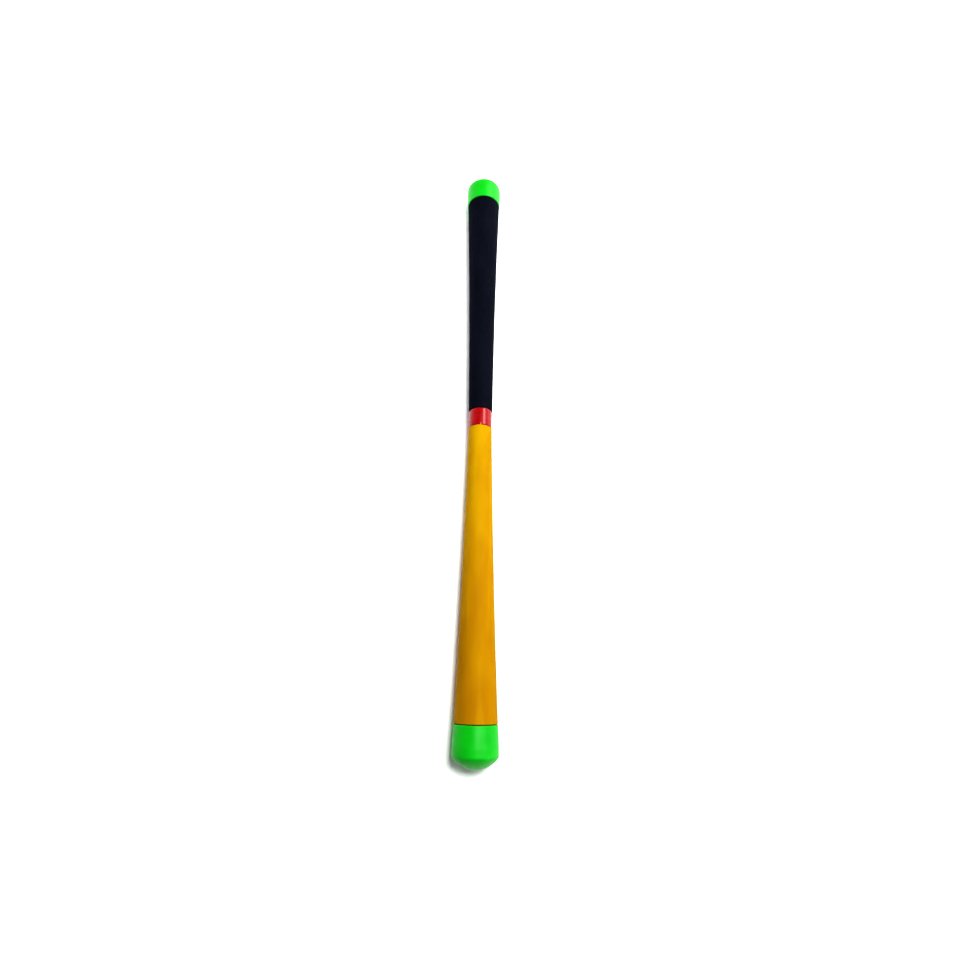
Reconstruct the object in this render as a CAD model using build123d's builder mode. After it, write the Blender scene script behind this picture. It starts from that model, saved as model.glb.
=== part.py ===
from build123d import *
import os

# Weighted hourglass stick: two hollow flared halves on one dowel, narrow at the waist and wide
# at both ends, each half under a rubber covering, a ring over the waist joint and a pull-off
# rubber cap on each end.
#
# Frame: origin on the stick's axis at mid-length, +Y towards the butt (the dark half), -Y
# towards the head (the bright half), +Z up. A "station" is a distance from mid-length along
# the axis, and both halves are drawn outward from the waist. All lengths are in millimetres.

# --- flared body halves ---
mouth_station = 303.0
waist_radius = 11.85
mouth_radius = 19.3
flare_sag = 0.9
body_wall = 2.6
mouth_wall = 2.45
neck_shoulder = 0.95
neck_face_gap = 0.05

# --- waist ring ---
ring_length = 20.2
ring_wall = 1.55
ring_end_gap = 0.2
ring_edge = 0.5

# --- coverings: thickness at the waist and at the mouth of each half ---
covering_thickness = {"head": (0.6, 0.6), "butt": (1.0, 0.4)}
covering_names = {"head": "barrel_sleeve", "butt": "grip_sleeve"}
covering_edge = 0.25

# --- end caps ---
cap_lip_rise = 0.8
cap_taper_rise = 0.9
cap_taper_length = 19.0
cap_floor_land = 0.95
cap_dome_height = 10.0
cap_corner_radius = 4.0
cap_lip_edge = 0.3
cap_seam = 0.5

# --- dowel and the tube that joins the halves on it ---
dowel_radius = 6.0
dowel_edge = 0.5
coupler_wall = 2.35
coupler_half_length = 26.0
coupler_edge = 0.4

# --- end plugs ---
plug_wall = 2.4
plug_insert = 12.0
plug_web = 6.0
plug_hub_wall = 2.95
plug_rib = 1.8
plug_rib_count = 4
plug_edge = 0.4

# --- end weights, their fasteners and the pads over them ---
weight_length = 16.0
weight_edge = 0.8
screw_radius = 2.5
screw_length = 45.0
screw_tip = 1.5
screw_head_radius = 4.75
screw_head_height = 2.8
screw_head_edge = 0.8
screw_head_room = 3.0
hex_across_corners = 3.4
hex_depth = 1.6
washer_radius = 7.0
washer_thickness = 1.2

# --- centring rings between the dowel and each body half ---
spacer_station = 140.0
spacer_length = 16.0

# --- clearances ---
press_gap = 0.05
slip_gap = 0.05
cover_gap = 0.06
soft_gap = 0.3
thread_gap = 0.05
screw_hole_gap = 0.25
weight_gap = 0.25
dowel_end_gap = 0.5
pilot_end_gap = 3.0
cap_seat_gap = 0.05
pad_top_gap = 0.2

# --- worked out from the sizes above ---
neck_station = ring_length / 2 + ring_end_gap
neck_radius = waist_radius - neck_shoulder
ring_bore = neck_radius + slip_gap
ring_radius = ring_bore + ring_wall
flare_middle = (neck_station + mouth_station) / 2
flare_reach = mouth_station - flare_middle
dowel_bore = dowel_radius + press_gap
coupler_radius = dowel_bore + coupler_wall
neck_bore = coupler_radius + press_gap
bore_start = coupler_half_length + soft_gap

plug_socket = mouth_radius - mouth_wall
plug_radius = plug_socket - press_gap
plug_hub_radius = dowel_bore + plug_hub_wall
cup_radius = plug_radius - plug_wall
plug_start = mouth_station - plug_insert
web_inner = mouth_station - plug_web / 2
web_outer = web_inner + plug_web
bore_middle = (bore_start + plug_start) / 2

screw_bore = screw_radius + screw_hole_gap
weight_end = web_outer + weight_length
washer_end = weight_end + washer_thickness
head_top = washer_end + screw_head_height
plug_end = head_top + screw_head_room
screw_end = washer_end - screw_length
pilot_depth = mouth_station - screw_end + pilot_end_gap

cap_mouth = mouth_station + cap_seam
cap_mouth_radius = mouth_radius + cap_lip_rise
cap_radius = cap_mouth_radius + cap_taper_rise
cap_taper_end = mouth_station + cap_taper_length
cap_socket = plug_radius + slip_gap
cap_floor = plug_end + cap_seat_gap
cap_corner = cap_floor + cap_floor_land
cap_apex = cap_corner + cap_dome_height
cap_dome_radius = (cap_radius**2 + cap_dome_height**2) / (2 * cap_dome_height)

ends = {"head": -1, "butt": 1}


def half_plane(toward):
    """Plane through the axis: local x is the station, local y the distance from the axis."""
    return Plane(origin=(0, 0, 0), x_dir=(0, toward, 0), z_dir=(toward, 0, 0))


def cross_plane(toward, station):
    """Plane square to the axis at a station, facing away from the waist."""
    return Plane(origin=(0, toward * station, 0), x_dir=(1, 0, 0), z_dir=(0, toward, 0))


def flare_radius(station, waist=waist_radius, mouth=mouth_radius):
    """Radius of the trumpet curve that runs from the waist to the mouth of a half."""
    along = (station - flare_middle) / flare_reach
    return (waist + mouth) / 2 + (mouth - waist) / 2 * along - flare_sag * (1 - along**2)


def rims(part):
    """The part's circular edges, in groups from the smallest radius to the largest."""
    return part.edges().filter_by(GeomType.CIRCLE).group_by(SortBy.RADIUS)


def corner_at(outline, station, radius):
    """The outline's corner nearest to a station and a radius."""
    return outline.vertices().sort_by_distance((station, radius))[0]


def band(start, end, inner, outer):
    """Rectangle between two stations and two radii, for a plain ring."""
    with Locations((start, inner)):
        Rectangle(end - start, outer - inner, align=(Align.MIN, Align.MIN))


os.makedirs("parts", exist_ok=True)

# ================= pieces at the waist =================

with BuildPart() as dowel:
    with BuildSketch(half_plane(1)):
        band(-mouth_station, mouth_station, 0, dowel_radius)
    revolve(axis=Axis.Y)
    chamfer(dowel.edges().filter_by(GeomType.CIRCLE), dowel_edge)
    for toward in ends.values():
        with BuildSketch(cross_plane(toward, mouth_station)):
            Circle(screw_radius + thread_gap)
        extrude(amount=-pilot_depth, mode=Mode.SUBTRACT)
dowel.part.label = "core_dowel"
export_step(dowel.part, "parts/core_dowel.step")

with BuildPart() as coupler:
    with BuildSketch(half_plane(1)):
        band(-coupler_half_length, coupler_half_length, dowel_bore, coupler_radius)
    revolve(axis=Axis.Y)
    chamfer(rims(coupler)[-1], coupler_edge)
coupler.part.label = "waist_coupler"
export_step(coupler.part, "parts/waist_coupler.step")

with BuildPart() as ring:
    with BuildSketch(half_plane(1)):
        band(-ring_length / 2, ring_length / 2, ring_bore, ring_radius)
    revolve(axis=Axis.Y)
    fillet(rims(ring)[-1], ring_edge)
ring.part.label = "waist_ring"
export_step(ring.part, "parts/waist_ring.step")

# ================= the two halves, drawn outward from the waist =================

for end, toward in ends.items():
    half = half_plane(toward)

    # Hollow body: a neck under the ring, the trumpet wall, and a stepped mouth for the plug.
    with BuildPart() as body:
        with BuildSketch(half):
            with BuildLine():
                Polyline(
                    (neck_face_gap, neck_bore),
                    (neck_face_gap, neck_radius),
                    (neck_station, neck_radius),
                    (neck_station, waist_radius),
                )
                ThreePointArc(
                    (neck_station, waist_radius),
                    (flare_middle, flare_radius(flare_middle)),
                    (mouth_station, mouth_radius),
                )
                Polyline(
                    (mouth_station, mouth_radius),
                    (mouth_station, plug_socket),
                    (plug_start, plug_socket),
                    (plug_start, flare_radius(plug_start) - body_wall),
                )
                ThreePointArc(
                    (plug_start, flare_radius(plug_start) - body_wall),
                    (bore_middle, flare_radius(bore_middle) - body_wall),
                    (bore_start, flare_radius(bore_start) - body_wall),
                )
                Polyline(
                    (bore_start, flare_radius(bore_start) - body_wall),
                    (bore_start, neck_bore),
                    (neck_face_gap, neck_bore),
                )
            make_face()
        revolve(axis=Axis.Y)
    body.part.label = f"{end}_body"
    export_step(body.part, f"parts/{end}_body.step")

    # Covering: a rubber skin stretched over the trumpet wall, from the ring to the cap's mouth.
    cover_start = neck_station
    cover_end = mouth_station
    at_waist, at_mouth = covering_thickness[end]
    cover_waist = waist_radius + at_waist
    cover_mouth = mouth_radius + at_mouth
    with BuildPart() as covering:
        with BuildSketch(half) as outline:
            with BuildLine():
                ThreePointArc(
                    (cover_start, waist_radius + cover_gap),
                    (flare_middle, flare_radius(flare_middle) + cover_gap),
                    (cover_end, mouth_radius + cover_gap),
                )
                Line((cover_end, mouth_radius + cover_gap), (cover_end, cover_mouth))
                ThreePointArc(
                    (cover_end, cover_mouth),
                    (flare_middle, flare_radius(flare_middle, cover_waist, cover_mouth)),
                    (cover_start, cover_waist),
                )
                Line((cover_start, cover_waist), (cover_start, waist_radius + cover_gap))
            make_face()
            chamfer(corner_at(outline, cover_start, cover_waist), covering_edge)
            chamfer(corner_at(outline, cover_end, cover_mouth), covering_edge)
        revolve(axis=Axis.Y)
    covering.part.label = covering_names[end]
    export_step(covering.part, f"parts/{covering_names[end]}.step")

    # Foam ring that keeps the dowel central half way along the hollow body.
    spacer_bore = flare_radius(spacer_station) - body_wall
    with BuildPart() as spacer:
        with BuildSketch(half):
            band(
                spacer_station,
                spacer_station + spacer_length,
                dowel_bore,
                spacer_bore - press_gap,
            )
        revolve(axis=Axis.Y)
    spacer.part.label = f"{end}_spacer"
    export_step(spacer.part, f"parts/{end}_spacer.step")

    # Plug: a tube with a web across it. Inward it has a ribbed hub on the dowel's end, outward
    # a cup for the weight, and its outside carries the cap.
    with BuildPart() as plug:
        with BuildSketch(half):
            band(plug_start, plug_end, cup_radius, plug_radius)
            band(web_inner, web_outer, 0, plug_radius)
            band(plug_start, web_outer, 0, plug_hub_radius)
        revolve(axis=Axis.Y)
        with BuildSketch(cross_plane(toward, plug_start)):
            with PolarLocations(0, plug_rib_count):
                Rectangle(plug_radius - plug_wall / 2, plug_rib, align=(Align.MIN, Align.CENTER))
        extrude(amount=plug_insert)
        with BuildSketch(cross_plane(toward, plug_start)):
            Circle(dowel_bore)
        extrude(amount=plug_insert + dowel_end_gap, mode=Mode.SUBTRACT)
        with BuildSketch(cross_plane(toward, plug_start)):
            Circle(screw_bore)
        extrude(amount=web_outer - plug_start, mode=Mode.SUBTRACT)
        chamfer(rims(plug)[-1], plug_edge)
    plug.part.label = f"{end}_plug"
    export_step(plug.part, f"parts/{end}_plug.step")

    # Steel weight in the plug's cup.
    with BuildPart() as weight:
        with BuildSketch(half):
            band(web_outer, weight_end, screw_bore, cup_radius - weight_gap)
        revolve(axis=Axis.Y)
        chamfer(rims(weight)[-1], weight_edge)
    weight.part.label = f"{end}_weight"
    export_step(weight.part, f"parts/{end}_weight.step")

    with BuildPart() as washer:
        with BuildSketch(half):
            band(weight_end, washer_end, screw_bore, washer_radius)
        revolve(axis=Axis.Y)
    washer.part.label = f"{end}_washer"
    export_step(washer.part, f"parts/{end}_washer.step")

    # Screw through the washer, the weight and the plug into the dowel's end.
    with BuildPart() as screw:
        with BuildSketch(half):
            band(screw_end, washer_end, 0, screw_radius)
            band(washer_end, head_top, 0, screw_head_radius)
        revolve(axis=Axis.Y)
        by_station = screw.edges().filter_by(GeomType.CIRCLE).sort_by(Axis.Y, reverse=toward < 0)
        fillet(by_station[-1], screw_head_edge)
        chamfer(by_station[0], screw_tip)
        with BuildSketch(cross_plane(toward, head_top)):
            RegularPolygon(hex_across_corners / 2, 6)
        extrude(amount=-hex_depth, mode=Mode.SUBTRACT)
    screw.part.label = f"{end}_screw"
    export_step(screw.part, f"parts/{end}_screw.step")

    # Foam pad that fills the cup round the washer, under the cap's floor.
    with BuildPart() as pad:
        with BuildSketch(half):
            band(
                weight_end,
                plug_end - pad_top_gap,
                washer_radius + soft_gap,
                cup_radius - soft_gap,
            )
        revolve(axis=Axis.Y)
    pad.part.label = f"{end}_pad"
    export_step(pad.part, f"parts/{end}_pad.step")

    # Cap: a skirt that widens from its mouth to a plain band, a rounded corner and a low dome
    # over a thick bumper end.
    with BuildPart() as cap:
        with BuildSketch(half) as outline:
            with BuildLine():
                Polyline(
                    (cap_mouth, cap_socket),
                    (cap_mouth, cap_mouth_radius),
                    (cap_taper_end, cap_radius),
                    (cap_corner, cap_radius),
                )
                RadiusArc((cap_corner, cap_radius), (cap_apex, 0), cap_dome_radius)
                Polyline(
                    (cap_apex, 0),
                    (cap_floor, 0),
                    (cap_floor, cap_socket),
                    (cap_mouth, cap_socket),
                )
            make_face()
            fillet(corner_at(outline, cap_corner, cap_radius), cap_corner_radius)
            chamfer(corner_at(outline, cap_mouth, cap_mouth_radius), cap_lip_edge)
            chamfer(corner_at(outline, cap_mouth, cap_socket), cap_lip_edge)
        revolve(axis=Axis.Y)
    cap.part.label = f"{end}_cap"
    export_step(cap.part, f"parts/{end}_cap.step")
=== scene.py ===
from math import cos, hypot, pi, radians, sin

import bpy
from mathutils import Matrix, Vector, noise


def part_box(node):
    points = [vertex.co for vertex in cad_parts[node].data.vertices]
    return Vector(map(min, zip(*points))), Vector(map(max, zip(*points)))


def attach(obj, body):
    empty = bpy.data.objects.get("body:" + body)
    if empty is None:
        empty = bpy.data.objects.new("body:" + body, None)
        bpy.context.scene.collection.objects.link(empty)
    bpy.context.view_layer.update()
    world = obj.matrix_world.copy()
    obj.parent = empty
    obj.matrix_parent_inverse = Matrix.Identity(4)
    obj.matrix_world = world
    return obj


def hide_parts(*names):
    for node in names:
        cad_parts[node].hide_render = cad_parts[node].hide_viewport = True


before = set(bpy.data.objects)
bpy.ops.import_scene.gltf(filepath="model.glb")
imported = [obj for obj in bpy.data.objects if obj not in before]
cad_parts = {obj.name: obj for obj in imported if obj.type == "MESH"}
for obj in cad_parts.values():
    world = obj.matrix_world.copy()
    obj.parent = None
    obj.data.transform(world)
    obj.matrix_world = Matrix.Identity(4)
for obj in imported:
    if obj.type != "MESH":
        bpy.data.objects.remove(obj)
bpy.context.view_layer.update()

# A hollow, hourglass-shaped stick with a covering on each half, a ring round its waist and a
# pull-off cap on each end. It lies along Y with its waist at the origin. A "station" is a
# distance from the waist along Y, towards the head (-1) or the butt (+1). Lengths are in metres.
MM = 0.001
HEAD = -1
BUTT = 1
SEGMENTS = 160

# Strength of the room's light: straight overhead, from the walls, and how much brighter the
# walls are on the right and beyond the butt.
SKY_TOP = 0.04
SKY_WALL = 1.04
SKY_RIGHT = 0.25
SKY_BEYOND = 0.60


# ---------------------------------------------------------------- sizes read from the frame

def stations(node):
    """The nearest and farthest stations of a CAD node, and its largest radius."""
    low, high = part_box(node)
    near, far = sorted((abs(low.y), abs(high.y)))
    return near, far, high.x


def radii(node, station, within=0.6 * MM):
    """The smallest and largest radius that a CAD node has close to a station."""
    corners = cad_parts[node].data.vertices
    found = [hypot(v.co.x, v.co.z) for v in corners if abs(abs(v.co.y) - station) < within]
    return min(found), max(found)


plug_end = stations("butt_plug")[1]
cap_mouth, cap_apex, cap_radius = stations("butt_cap")
floor_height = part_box("butt_cap")[0].z

# Sizes of the CAD outlines that a box doesn't give.
FLARE_SAG = 0.9 * MM
CAP_DOME = 10.0 * MM
CAP_TAPER_END = 322.0 * MM
CAP_GAP = 0.05 * MM
cap_socket, cap_mouth_radius = radii("butt_cap", cap_mouth)
cap_corner = cap_apex - CAP_DOME

# How far a turned skin wanders from round, and the softest edge that a covering has.
GRIP_RIPPLE = 0.10 * MM
BARREL_RIPPLE = 0.08 * MM
CAP_RIPPLE = 0.05 * MM
FOAM_RIPPLE = 0.12 * MM
COVERING_EDGE = 0.6 * MM


# ---------------------------------------------------------------- outlines and turned meshes

def arc(start, end, sag, steps):
    """Points from start to end, exclusive of start, on a parabola that bows by sag."""
    points = []
    for i in range(1, steps + 1):
        t = i / steps
        station = start[0] + (end[0] - start[0]) * t
        radius = start[1] + (end[1] - start[1]) * t - 4 * sag * t * (1 - t)
        points.append((station, radius))
    return points


def dome(corner, apex, radius, steps):
    """Points on a ball's surface from the corner (station, radius) to the apex on the axis."""
    height = apex - corner
    ball = (radius**2 + height**2) / (2 * height)
    centre = apex - ball
    points = []
    for i in range(1, steps + 1):
        r = radius * (1 - i / steps)
        points.append((centre + (ball**2 - r**2) ** 0.5, r))
    return points


def round_corner(before, corner, after, radius, steps=7):
    """Points of an arc that rounds one corner of an outline."""
    c = Vector(corner)
    a = (Vector(before) - c).normalized()
    b = (Vector(after) - c).normalized()
    half = a.angle(b) / 2
    reach = radius * cos(half) / sin(half)
    middle = c + (a + b).normalized() * (radius / sin(half))
    first = (c + a * reach) - middle
    last = (c + b * reach) - middle
    points = []
    for i in range(steps + 1):
        t = i / steps
        across = first.lerp(last, t).normalized() * radius
        points.append(tuple(middle + across))
    return points


def outline(*corners):
    """An outline from (station, radius) or (station, radius, rounding) corners."""
    plain = [Vector(c[:2]) for c in corners]
    points = []
    for i, corner in enumerate(corners):
        if len(corner) == 3:
            following = plain[(i + 1) % len(plain)]
            points += round_corner(plain[i - 1], plain[i], following, corner[2])
        else:
            points.append(tuple(plain[i]))
    return points


def turned(name, toward, points, looped, ripple=0.0, seed=0.0):
    """A mesh turned about Y. A point on the axis becomes one vertex, a loop closes on itself."""
    on_axis = 0.0001 * MM
    ripples_round = 1.3
    ripples_per_metre = 28
    corners, rows = [], []
    for station, radius in points:
        if radius < on_axis:
            rows.append([len(corners)] * SEGMENTS)
            corners.append((0, toward * station, 0))
            continue
        row = []
        for i in range(SEGMENTS):
            angle = 2 * pi * i / SEGMENTS
            r = radius
            if ripple:
                across = ripples_round * cos(angle)
                up = ripples_round * sin(angle) + seed
                r += ripple * noise.noise(Vector((across, ripples_per_metre * station, up)))
            row.append(len(corners))
            corners.append((r * sin(angle), toward * station, r * cos(angle)))
        rows.append(row)
    pairs = list(zip(rows, rows[1:]))
    if looped:
        pairs.append((rows[-1], rows[0]))
    faces = []
    for one, two in pairs:
        for i in range(SEGMENTS):
            j = (i + 1) % SEGMENTS
            ring = (one[i], two[i], two[j], one[j])
            distinct = tuple(dict.fromkeys(ring))
            if len(distinct) > 2:
                faces.append(distinct if toward < 0 else distinct[::-1])
    mesh = bpy.data.meshes.new(name)
    mesh.from_pydata(corners, [], faces)
    mesh.shade_smooth()
    piece = bpy.data.objects.new(name, mesh)
    bpy.context.scene.collection.objects.link(piece)
    piece.modifiers.new("even_normals", "WEIGHTED_NORMAL").keep_sharp = True
    return piece


# ---------------------------------------------------------------- material building blocks

class Finish:
    """A procedural material: a Principled shader with nodes added one at a time."""

    def __init__(self, name, **constants):
        self.material = bpy.data.materials.new(name)
        self.material.use_nodes = True
        self.tree = self.material.node_tree
        self.shader = self.tree.nodes["Principled BSDF"]
        for socket, value in constants.items():
            self.shader.inputs[socket.replace("_", " ")].default_value = value
        self.place = self.add("ShaderNodeTexCoord").outputs["Object"]
        self.relief = None

    def add(self, kind, settings=None, **inputs):
        """A new node, with its settings and its input sockets by name."""
        node = self.tree.nodes.new(kind)
        for key, value in (settings or {}).items():
            setattr(node, key, value)
        for socket, value in inputs.items():
            self.feed(node.inputs[socket.replace("_", " ")], value)
        return node

    def feed(self, socket, value):
        """Links a socket to another node's output, or sets its value."""
        if isinstance(value, bpy.types.NodeSocket):
            self.tree.links.new(value, socket)
        else:
            socket.default_value = value

    def stretched(self, scale):
        """Object coordinates, scaled along each axis."""
        return self.add("ShaderNodeMapping", Vector=self.place, Scale=scale).outputs["Vector"]

    def noise(self, scale, detail=3.0, roughness=0.5, along=None):
        """Cloudy noise from 0 to 1, on the object's coordinates or on stretched ones."""
        node = self.add("ShaderNodeTexNoise", Scale=scale, Detail=detail, Roughness=roughness)
        self.feed(node.inputs["Vector"], along or self.place)
        return node.outputs["Fac"]

    def cells(self, scale):
        """Distance to the nearest of a set of scattered points."""
        return self.add("ShaderNodeTexVoronoi", Vector=self.place, Scale=scale).outputs["Distance"]

    def math(self, operation, first, second=0.0):
        node = self.add("ShaderNodeMath", {"operation": operation})
        self.feed(node.inputs[0], first)
        self.feed(node.inputs[1], second)
        return node.outputs["Value"]

    def remap(self, value, low, high, to_low, to_high):
        """Takes low..high to to_low..to_high, and holds it there."""
        node = self.add("ShaderNodeMapRange", Value=value)
        self.feed(node.inputs["From Min"], low)
        self.feed(node.inputs["From Max"], high)
        self.feed(node.inputs["To Min"], to_low)
        self.feed(node.inputs["To Max"], to_high)
        return node.outputs["Result"]

    def mix(self, factor, one, two):
        """A colour between two colours; a Mix node has its colours at sockets 6, 7 and out 2."""
        node = self.add("ShaderNodeMix", {"data_type": "RGBA"})
        self.feed(node.inputs["Factor"], factor)
        self.feed(node.inputs[6], one)
        self.feed(node.inputs[7], two)
        return node.outputs[2]

    def cloudy(self, drift, one, two):
        """A colour that drifts between two close ones with a noise."""
        return self.mix(self.remap(drift, 0.35, 0.65, 0, 1), one, two)

    def station(self):
        """Distance from the waist along the stick."""
        parts = self.add("ShaderNodeSeparateXYZ", Vector=self.place)
        return self.math("ABSOLUTE", parts.outputs["Y"])

    def from_axis(self):
        """Distance from the stick's axis."""
        parts = self.add("ShaderNodeSeparateXYZ", Vector=self.place)
        across = self.add("ShaderNodeCombineXYZ", X=parts.outputs["X"], Z=parts.outputs["Z"])
        length = self.add("ShaderNodeVectorMath", {"operation": "LENGTH"}, Vector=across.outputs[0])
        return length.outputs["Value"]

    def bump(self, height, depth):
        """Adds relief of a real depth in metres, over any relief added before."""
        node = self.add("ShaderNodeBump", Height=height, Distance=depth, Strength=1.0)
        if self.relief:
            self.feed(node.inputs["Normal"], self.relief)
        self.relief = node.outputs["Normal"]
        self.feed(self.shader.inputs["Normal"], self.relief)

    def color(self, value):
        self.feed(self.shader.inputs["Base Color"], value)

    def roughness(self, value):
        self.feed(self.shader.inputs["Roughness"], value)


def dress(piece, finish):
    piece.data.materials.clear()
    piece.data.materials.append(finish.material)


# ---------------------------------------------------------------- materials

def green_rubber():
    """Bright moulded rubber: satin, faintly cloudy, scuffed paler round the cap's corner."""
    f = Finish("green_rubber", Specular_IOR_Level=0.42)
    base = f.cloudy(f.noise(45, detail=4), (0.003, 0.335, 0.013, 1), (0.008, 0.395, 0.018, 1))
    off_corner = f.math("ABSOLUTE", f.math("SUBTRACT", f.station(), cap_corner))
    near_corner = f.remap(off_corner, 0, 5 * MM, 1, 0)
    scratches = f.noise(420, detail=6, roughness=0.7, along=f.stretched((1, 0.5, 1)))
    scuffs = f.remap(scratches, 0.56, 0.70, 0, 1)
    worn = f.math("MULTIPLY", f.math("MULTIPLY", near_corner, scuffs), 0.6)
    f.color(f.mix(worn, base, (0.09, 0.50, 0.11, 1)))
    f.roughness(f.remap(f.noise(160, detail=5), 0.3, 0.7, 0.34, 0.46))
    f.bump(f.noise(900, detail=2), 0.02 * MM)
    f.bump(f.noise(5200, detail=2), 0.012 * MM)
    return f


def black_rubber():
    """Near-black matte covering: fine open grain, faint drag lines along the stick."""
    f = Finish("black_rubber", Specular_IOR_Level=0.10)
    drift = f.noise(60, detail=5, along=f.stretched((1, 0.3, 1)))
    base = f.cloudy(drift, (0.0060, 0.0080, 0.0150, 1), (0.0090, 0.0105, 0.0205, 1))
    drags = f.noise(300, detail=6, roughness=0.7, along=f.stretched((1, 0.08, 1)))
    f.color(f.mix(f.remap(drags, 0.6, 0.75, 0, 0.35), base, (0.022, 0.024, 0.034, 1)))
    f.roughness(f.remap(f.noise(220, detail=5), 0.3, 0.7, 0.72, 0.88))
    f.bump(f.cells(2300), 0.05 * MM)
    f.bump(f.noise(700, detail=3, along=f.stretched((1, 0.05, 1))), 0.03 * MM)
    return f


def yellow_rubber():
    """Amber satin covering: blotches and streaks drawn out lengthwise, darker towards the wide end, partly
    its own deeper tone and partly painted shade of the light falling off there.
    """
    f = Finish("yellow_rubber", Specular_IOR_Level=0.06)
    # Darker from the waist towards the wide head end: partly the covering's own deeper tone, partly
    # painted shade standing in for the light falling off towards the head.
    tone_and_painted_shade = f.remap(f.station(), 20 * MM, 300 * MM, 0, 1)
    base = f.mix(tone_and_painted_shade, (0.428, 0.268, 0.0002, 1), (0.360, 0.196, 0.0002, 1))
    blotch = f.remap(f.noise(48, detail=4, along=f.stretched((1, 0.35, 1))), 0.38, 0.66, 0, 0.5)
    mottled = f.mix(blotch, base, (0.305, 0.148, 0.0002, 1))
    streak = f.remap(f.noise(150, detail=5, along=f.stretched((1, 0.07, 1))), 0.52, 0.72, 0, 0.4)
    streaked = f.mix(streak, mottled, (0.45, 0.275, 0.001, 1))
    soil = f.remap(f.noise(520, detail=6, roughness=0.7), 0.62, 0.74, 0, 0.25)
    f.color(f.mix(soil, streaked, (0.20, 0.105, 0.004, 1)))
    f.roughness(f.remap(f.noise(130, detail=5), 0.3, 0.7, 0.46, 0.62))
    f.bump(f.cells(2100), 0.03 * MM)
    f.bump(f.noise(600, detail=3, along=f.stretched((1, 0.06, 1))), 0.03 * MM)
    return f


def red_gloss():
    """Glossy red plastic with hairline scratches round it."""
    f = Finish("red_gloss", Specular_IOR_Level=0.62)
    f.color(f.cloudy(f.noise(120), (0.27, 0.003, 0.006, 1), (0.31, 0.005, 0.008, 1)))
    hairlines = f.noise(60, detail=5, roughness=0.7, along=f.stretched((1, 30, 1)))
    f.roughness(f.remap(hairlines, 0.35, 0.75, 0.20, 0.30))
    f.bump(f.noise(300, detail=1), 0.006 * MM)
    f.bump(hairlines, 0.002 * MM)
    return f


def shell_plastic():
    """Off-white moulded plastic with pale flow marks along the stick."""
    f = Finish("shell_plastic", Specular_IOR_Level=0.4)
    flow = f.noise(70, detail=4, along=f.stretched((1, 0.2, 1)))
    f.color(f.mix(flow, (0.66, 0.65, 0.60, 1), (0.76, 0.75, 0.71, 1)))
    f.roughness(f.remap(f.noise(200), 0.3, 0.7, 0.5, 0.62))
    f.bump(f.noise(1800, detail=2), 0.015 * MM)
    return f


def plug_plastic():
    """Dark moulded plastic with a spark-eroded grain and rub marks where the cap slides."""
    f = Finish("plug_plastic", Specular_IOR_Level=0.45)
    base = f.mix(f.noise(90, detail=4), (0.030, 0.031, 0.035, 1), (0.050, 0.051, 0.056, 1))
    rubs = f.noise(420, detail=6, roughness=0.75, along=f.stretched((1, 0.06, 1)))
    f.color(f.mix(f.remap(rubs, 0.58, 0.72, 0, 0.5), base, (0.11, 0.115, 0.12, 1)))
    f.roughness(f.remap(f.noise(260), 0.3, 0.7, 0.42, 0.58))
    f.bump(f.noise(3600, detail=2), 0.02 * MM)
    return f


def turned_metal(name, dark, light, roughest, pitch):
    """Metal with the fine rings of a lathe tool round the axis, and faint stains."""
    f = Finish(name, Metallic=1.0)
    stains = f.noise(150, detail=5)
    f.color(f.mix(f.remap(stains, 0.35, 0.7, 0, 1), light, dark))
    rings = f.math("SINE", f.math("MULTIPLY", f.from_axis(), 2 * pi / pitch))
    wander = f.math("MULTIPLY", rings, f.noise(900, detail=3))
    f.roughness(f.remap(f.noise(500, detail=4), 0.3, 0.7, roughest * 0.65, roughest))
    f.bump(wander, 0.006 * MM)
    return f


def foam():
    """Closed-cell foam: small round cells, powdery matte."""
    f = Finish("foam", Specular_IOR_Level=0.15, Sheen_Weight=0.2, Sheen_Roughness=0.6)
    cells = f.cells(1300)
    f.color(f.mix(f.remap(cells, 0.1, 0.6, 0, 1), (0.035, 0.035, 0.038, 1), (0.085, 0.085, 0.09, 1)))
    f.roughness(f.remap(f.noise(300), 0.3, 0.7, 0.85, 0.95))
    f.bump(cells, 0.12 * MM)
    return f


def beech():
    """Sanded beech: long pale grain with short darker flecks."""
    f = Finish("beech", Specular_IOR_Level=0.35)
    grain = f.noise(420, detail=6, roughness=0.65, along=f.stretched((1, 0.03, 1)))
    flecks = f.remap(f.noise(900, detail=3, along=f.stretched((1, 0.12, 1))), 0.62, 0.7, 0, 0.6)
    tone = f.mix(f.remap(grain, 0.3, 0.7, 0, 1), (0.64, 0.43, 0.25, 1), (0.50, 0.31, 0.16, 1))
    f.color(f.mix(flecks, tone, (0.33, 0.18, 0.09, 1)))
    f.roughness(f.remap(grain, 0.3, 0.7, 0.5, 0.7))
    f.bump(grain, 0.05 * MM)
    return f


def floor_finish():
    """Matte white paper, very slightly uneven."""
    f = Finish("floor_paper", Specular_IOR_Level=0.2)
    f.color(f.mix(f.noise(3.0), (0.89, 0.89, 0.89, 1), (0.91, 0.91, 0.91, 1)))
    f.roughness(f.remap(f.noise(40), 0.3, 0.7, 0.75, 0.85))
    f.bump(f.noise(900), 0.01 * MM)
    return f


# ---------------------------------------------------------------- pieces

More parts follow.
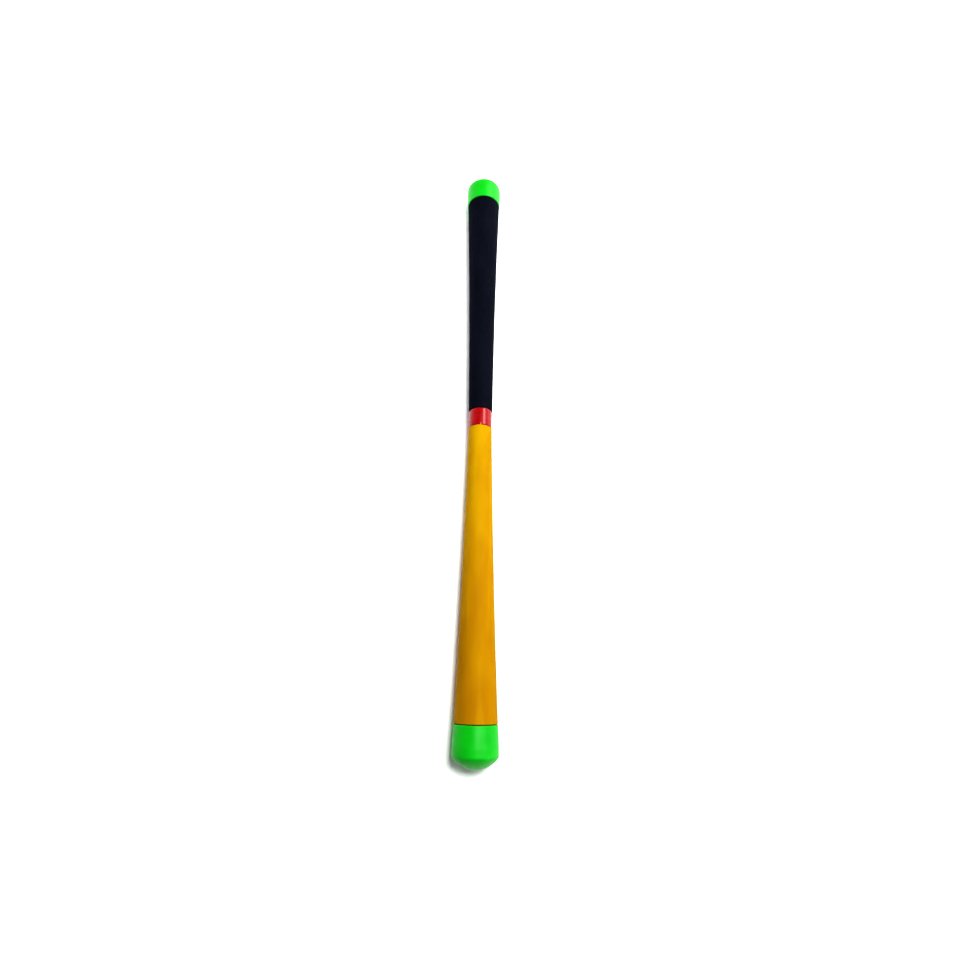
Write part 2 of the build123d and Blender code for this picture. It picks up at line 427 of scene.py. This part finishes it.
def make_covering(name, node, toward, ripple, seed):
    """A rubber skin along one half, with a soft rolled edge at each end."""
    near, far, _ = stations(node)
    waist_in, waist_out = radii(node, near)
    mouth_in, mouth_out = radii(node, far)
    waist_edge = 0.9 * min(COVERING_EDGE, waist_out - waist_in)
    mouth_edge = 0.9 * min(COVERING_EDGE, mouth_out - mouth_in)
    inner = [(far, mouth_in)] + arc((far, mouth_in), (near, waist_in), FLARE_SAG, 40)
    waist_lip = round_corner(inner[-1], (near, waist_out), (far, mouth_out), waist_edge)
    mouth_lip = round_corner((near, waist_out), (far, mouth_out), inner[0], mouth_edge)
    outer = arc(waist_lip[-1], mouth_lip[0], FLARE_SAG, 90)
    points = inner + waist_lip + outer + mouth_lip[1:]
    piece = turned(name, toward, points, looped=True, ripple=ripple, seed=seed)
    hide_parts(node)
    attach(piece, "stick")
    return piece


def make_ring():
    """The waist ring: a slightly crowned band with rounded edges."""
    low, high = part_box("waist_ring")
    half, outer = high.y, high.x
    bore = min(hypot(v.co.x, v.co.z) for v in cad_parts["waist_ring"].data.vertices)
    crown = 0.15 * MM
    edge = 0.9 * MM
    shoulder = outer - crown
    lead = round_corner((-half, bore), (-half, shoulder), (half, shoulder), edge)
    trail = round_corner((-half, shoulder), (half, shoulder), (half, bore), edge)
    bow = arc(lead[-1], trail[0], -crown, 16)
    points = [(-half, bore)] + lead + bow + trail[1:] + [(half, bore)]
    piece = turned("waist_ring_band", BUTT, points, looped=True)
    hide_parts("waist_ring")
    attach(piece, "stick")
    return piece


def make_cap(end, toward):
    """A rubber cap: rolled lip, widening skirt, plain band, rounded corner and low dome."""
    floor = plug_end + CAP_GAP
    skin = dome(cap_corner, cap_apex, cap_radius, 26)
    # The first and last corners only give the directions in which the outline starts and ends.
    points = [(floor, 0.0)] + outline(
        (floor, 0.0),
        (floor, cap_socket, 0.05 * MM),
        (cap_mouth, cap_socket, 0.3 * MM),
        (cap_mouth, cap_mouth_radius, 0.8 * MM),
        (CAP_TAPER_END, cap_radius, 60 * MM),
        (cap_corner, cap_radius, 3.6 * MM),
        skin[2],
    )[1:-1]
    points += [p for p in skin if p[1] < points[-1][1] - 0.2 * MM]
    piece = turned(f"{end}_cap_rubber", toward, points, looped=False, ripple=CAP_RIPPLE, seed=toward * 7.0)
    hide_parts(f"{end}_cap")
    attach(piece, f"{end}_cap")
    return piece


def make_foam_ring(node, toward, near_edge, far_edge):
    """A ring cut from foam sheet, just inside its CAD solid: soft edges and an uneven skin."""
    near, far, outer = stations(node)
    bore = radii(node, far)[0] + FOAM_RIPPLE
    rim = outer - FOAM_RIPPLE
    points = outline(
        (far, bore, far_edge),
        (near, bore, near_edge),
        (near, rim, near_edge),
        (far, rim, far_edge),
    )
    piece = turned(f"{node}_foam", toward, points, looped=True, ripple=FOAM_RIPPLE, seed=toward * 19.0)
    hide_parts(node)
    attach(piece, "stick")
    return piece


def make_pieces():
    """Everything that replaces a CAD node: the coverings, the ring, the caps and the foam."""
    black = black_rubber()
    yellow = yellow_rubber()
    green = green_rubber()
    cellular = foam()
    grip = make_covering("grip_covering", "grip_sleeve", BUTT, GRIP_RIPPLE, 3.0)
    barrel = make_covering("barrel_covering", "barrel_sleeve", HEAD, BARREL_RIPPLE, 11.0)
    ring = make_ring()
    dress(grip, black)
    dress(barrel, yellow)
    dress(ring, red_gloss())
    for end, toward in (("head", HEAD), ("butt", BUTT)):
        cap = make_cap(end, toward)
        dress(cap, green)
        dress(make_foam_ring(f"{end}_pad", toward, 0.5 * MM, 1.4 * MM), cellular)
        dress(make_foam_ring(f"{end}_spacer", toward, 1.0 * MM, 1.0 * MM), cellular)


def dress_cad_nodes():
    """Finishes for the CAD nodes that stay, most of them hidden until a cap is pulled off."""
    steel = turned_metal("turned_steel", (0.30, 0.30, 0.31, 1), (0.44, 0.45, 0.46, 1), 0.42, 0.25 * MM)
    zinc = turned_metal("zinc_plate", (0.58, 0.59, 0.61, 1), (0.74, 0.75, 0.78, 1), 0.30, 0.60 * MM)
    tube = turned_metal("aluminium_tube", (0.70, 0.71, 0.72, 1), (0.82, 0.83, 0.84, 1), 0.36, 0.30 * MM)
    shell, plug, wood = shell_plastic(), plug_plastic(), beech()
    dress(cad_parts["core_dowel"], wood)
    dress(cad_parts["waist_coupler"], tube)
    for end in ("head", "butt"):
        for part, finish in (
            ("body", shell), ("plug", plug), ("weight", steel), ("washer", zinc), ("screw", zinc),
        ):
            dress(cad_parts[f"{end}_{part}"], finish)


# ---------------------------------------------------------------- floor, light and camera

def make_floor():
    """A round pale table top, just under the stick."""
    sides = 128
    reach = 0.85
    ring = [(reach * sin(2 * pi * i / sides), reach * cos(2 * pi * i / sides), 0) for i in range(sides)]
    mesh = bpy.data.meshes.new("floor")
    mesh.from_pydata(ring, [], [tuple(reversed(range(sides)))])
    floor = bpy.data.objects.new("floor", mesh)
    just_under = 0.02 * MM
    floor.location = (0, 0.1, floor_height - just_under)
    bpy.context.scene.collection.objects.link(floor)
    dress(floor, floor_finish())


def softbox(name, place, aim, width, length, power):
    """A rectangular light whose length runs as near to the stick's direction as its aim lets it."""
    data = bpy.data.lights.new(name, "AREA")
    data.shape = "RECTANGLE"
    data.size = width
    data.size_y = length
    data.energy = power
    lamp = bpy.data.objects.new(name, data)
    back = (Vector(place) - Vector(aim)).normalized()
    side = Vector((0, 1, 0)).cross(back).normalized()
    turn = Matrix((side, back.cross(side), back)).transposed().to_4x4()
    lamp.matrix_world = Matrix.Translation(place) @ turn
    lamp.visible_camera = False
    bpy.context.scene.collection.objects.link(lamp)
    return lamp


def make_sky():
    """Light from a room with a dim ceiling and walls brighter on the right and beyond the butt.

    The backdrop itself is seen as plain white.
    """
    world = bpy.data.worlds.new("studio")
    world.use_nodes = True
    tree = world.node_tree

    def math(operation, first, second):
        node = tree.nodes.new("ShaderNodeMath")
        node.operation = operation
        for socket, value in zip(node.inputs, (first, second)):
            if isinstance(value, bpy.types.NodeSocket):
                tree.links.new(value, socket)
            else:
                socket.default_value = value
        return node.outputs["Value"]

    place = tree.nodes.new("ShaderNodeTexCoord")
    parts = tree.nodes.new("ShaderNodeSeparateXYZ")
    tree.links.new(place.outputs["Generated"], parts.inputs["Vector"])
    lowness = math("POWER", math("SUBTRACT", 1.0, math("MAXIMUM", parts.outputs["Z"], 0.0)), 2.0)
    rightward = math("MULTIPLY", parts.outputs["X"], SKY_RIGHT)
    onward = math("MULTIPLY", parts.outputs["Y"], SKY_BEYOND)
    walls = math("MULTIPLY", lowness, math("ADD", math("ADD", rightward, onward), SKY_WALL))
    backdrop = tree.nodes["Background"]
    backdrop.inputs["Color"].default_value = (1, 1, 1, 1)
    lit = math("ADD", walls, SKY_TOP)
    seen = tree.nodes.new("ShaderNodeLightPath").outputs["Is Camera Ray"]
    tree.links.new(math("MAXIMUM", lit, seen), backdrop.inputs["Strength"])
    bpy.context.scene.world = world


def make_lights():
    """The room, a small lamp overhead, a long strip on the right and a weak fill on the left."""
    make_sky()
    softbox("overhead", (0.23, 0.10, 1.30), (0, 0, 0), 0.26, 0.34, 11.2)
    softbox("strip", (0.93, 0.55, 1.15), (0, 0.1, 0), 0.58, 1.90, 15.0)
    fill = softbox("fill", (-0.30, 0.36, 0.35), (0, 0.22, 0), 0.15, 0.30, 0.85)
    fill.visible_glossy = False
    view = bpy.context.scene.view_settings
    view.view_transform = "Standard"
    view.look = "Very High Contrast"


def make_camera():
    """Above the stick and nearer its head, tipped towards the butt, with a wide lens."""
    height = 539.7 * MM
    behind_waist = 270 * MM
    aside = 0.57 * MM
    data = bpy.data.cameras.new("camera")
    data.sensor_width = 36.0
    data.lens = 20.6
    camera = bpy.data.objects.new("camera", data)
    tip = Matrix.Rotation(radians(20.42), 4, "X")
    roll = Matrix.Rotation(radians(0.86), 4, "Z")
    camera.matrix_world = Matrix.Translation((aside, -behind_waist, height)) @ tip @ roll
    bpy.context.scene.collection.objects.link(camera)
    bpy.context.scene.camera = camera


make_camera()
make_lights()
make_floor()
make_pieces()
dress_cad_nodes()
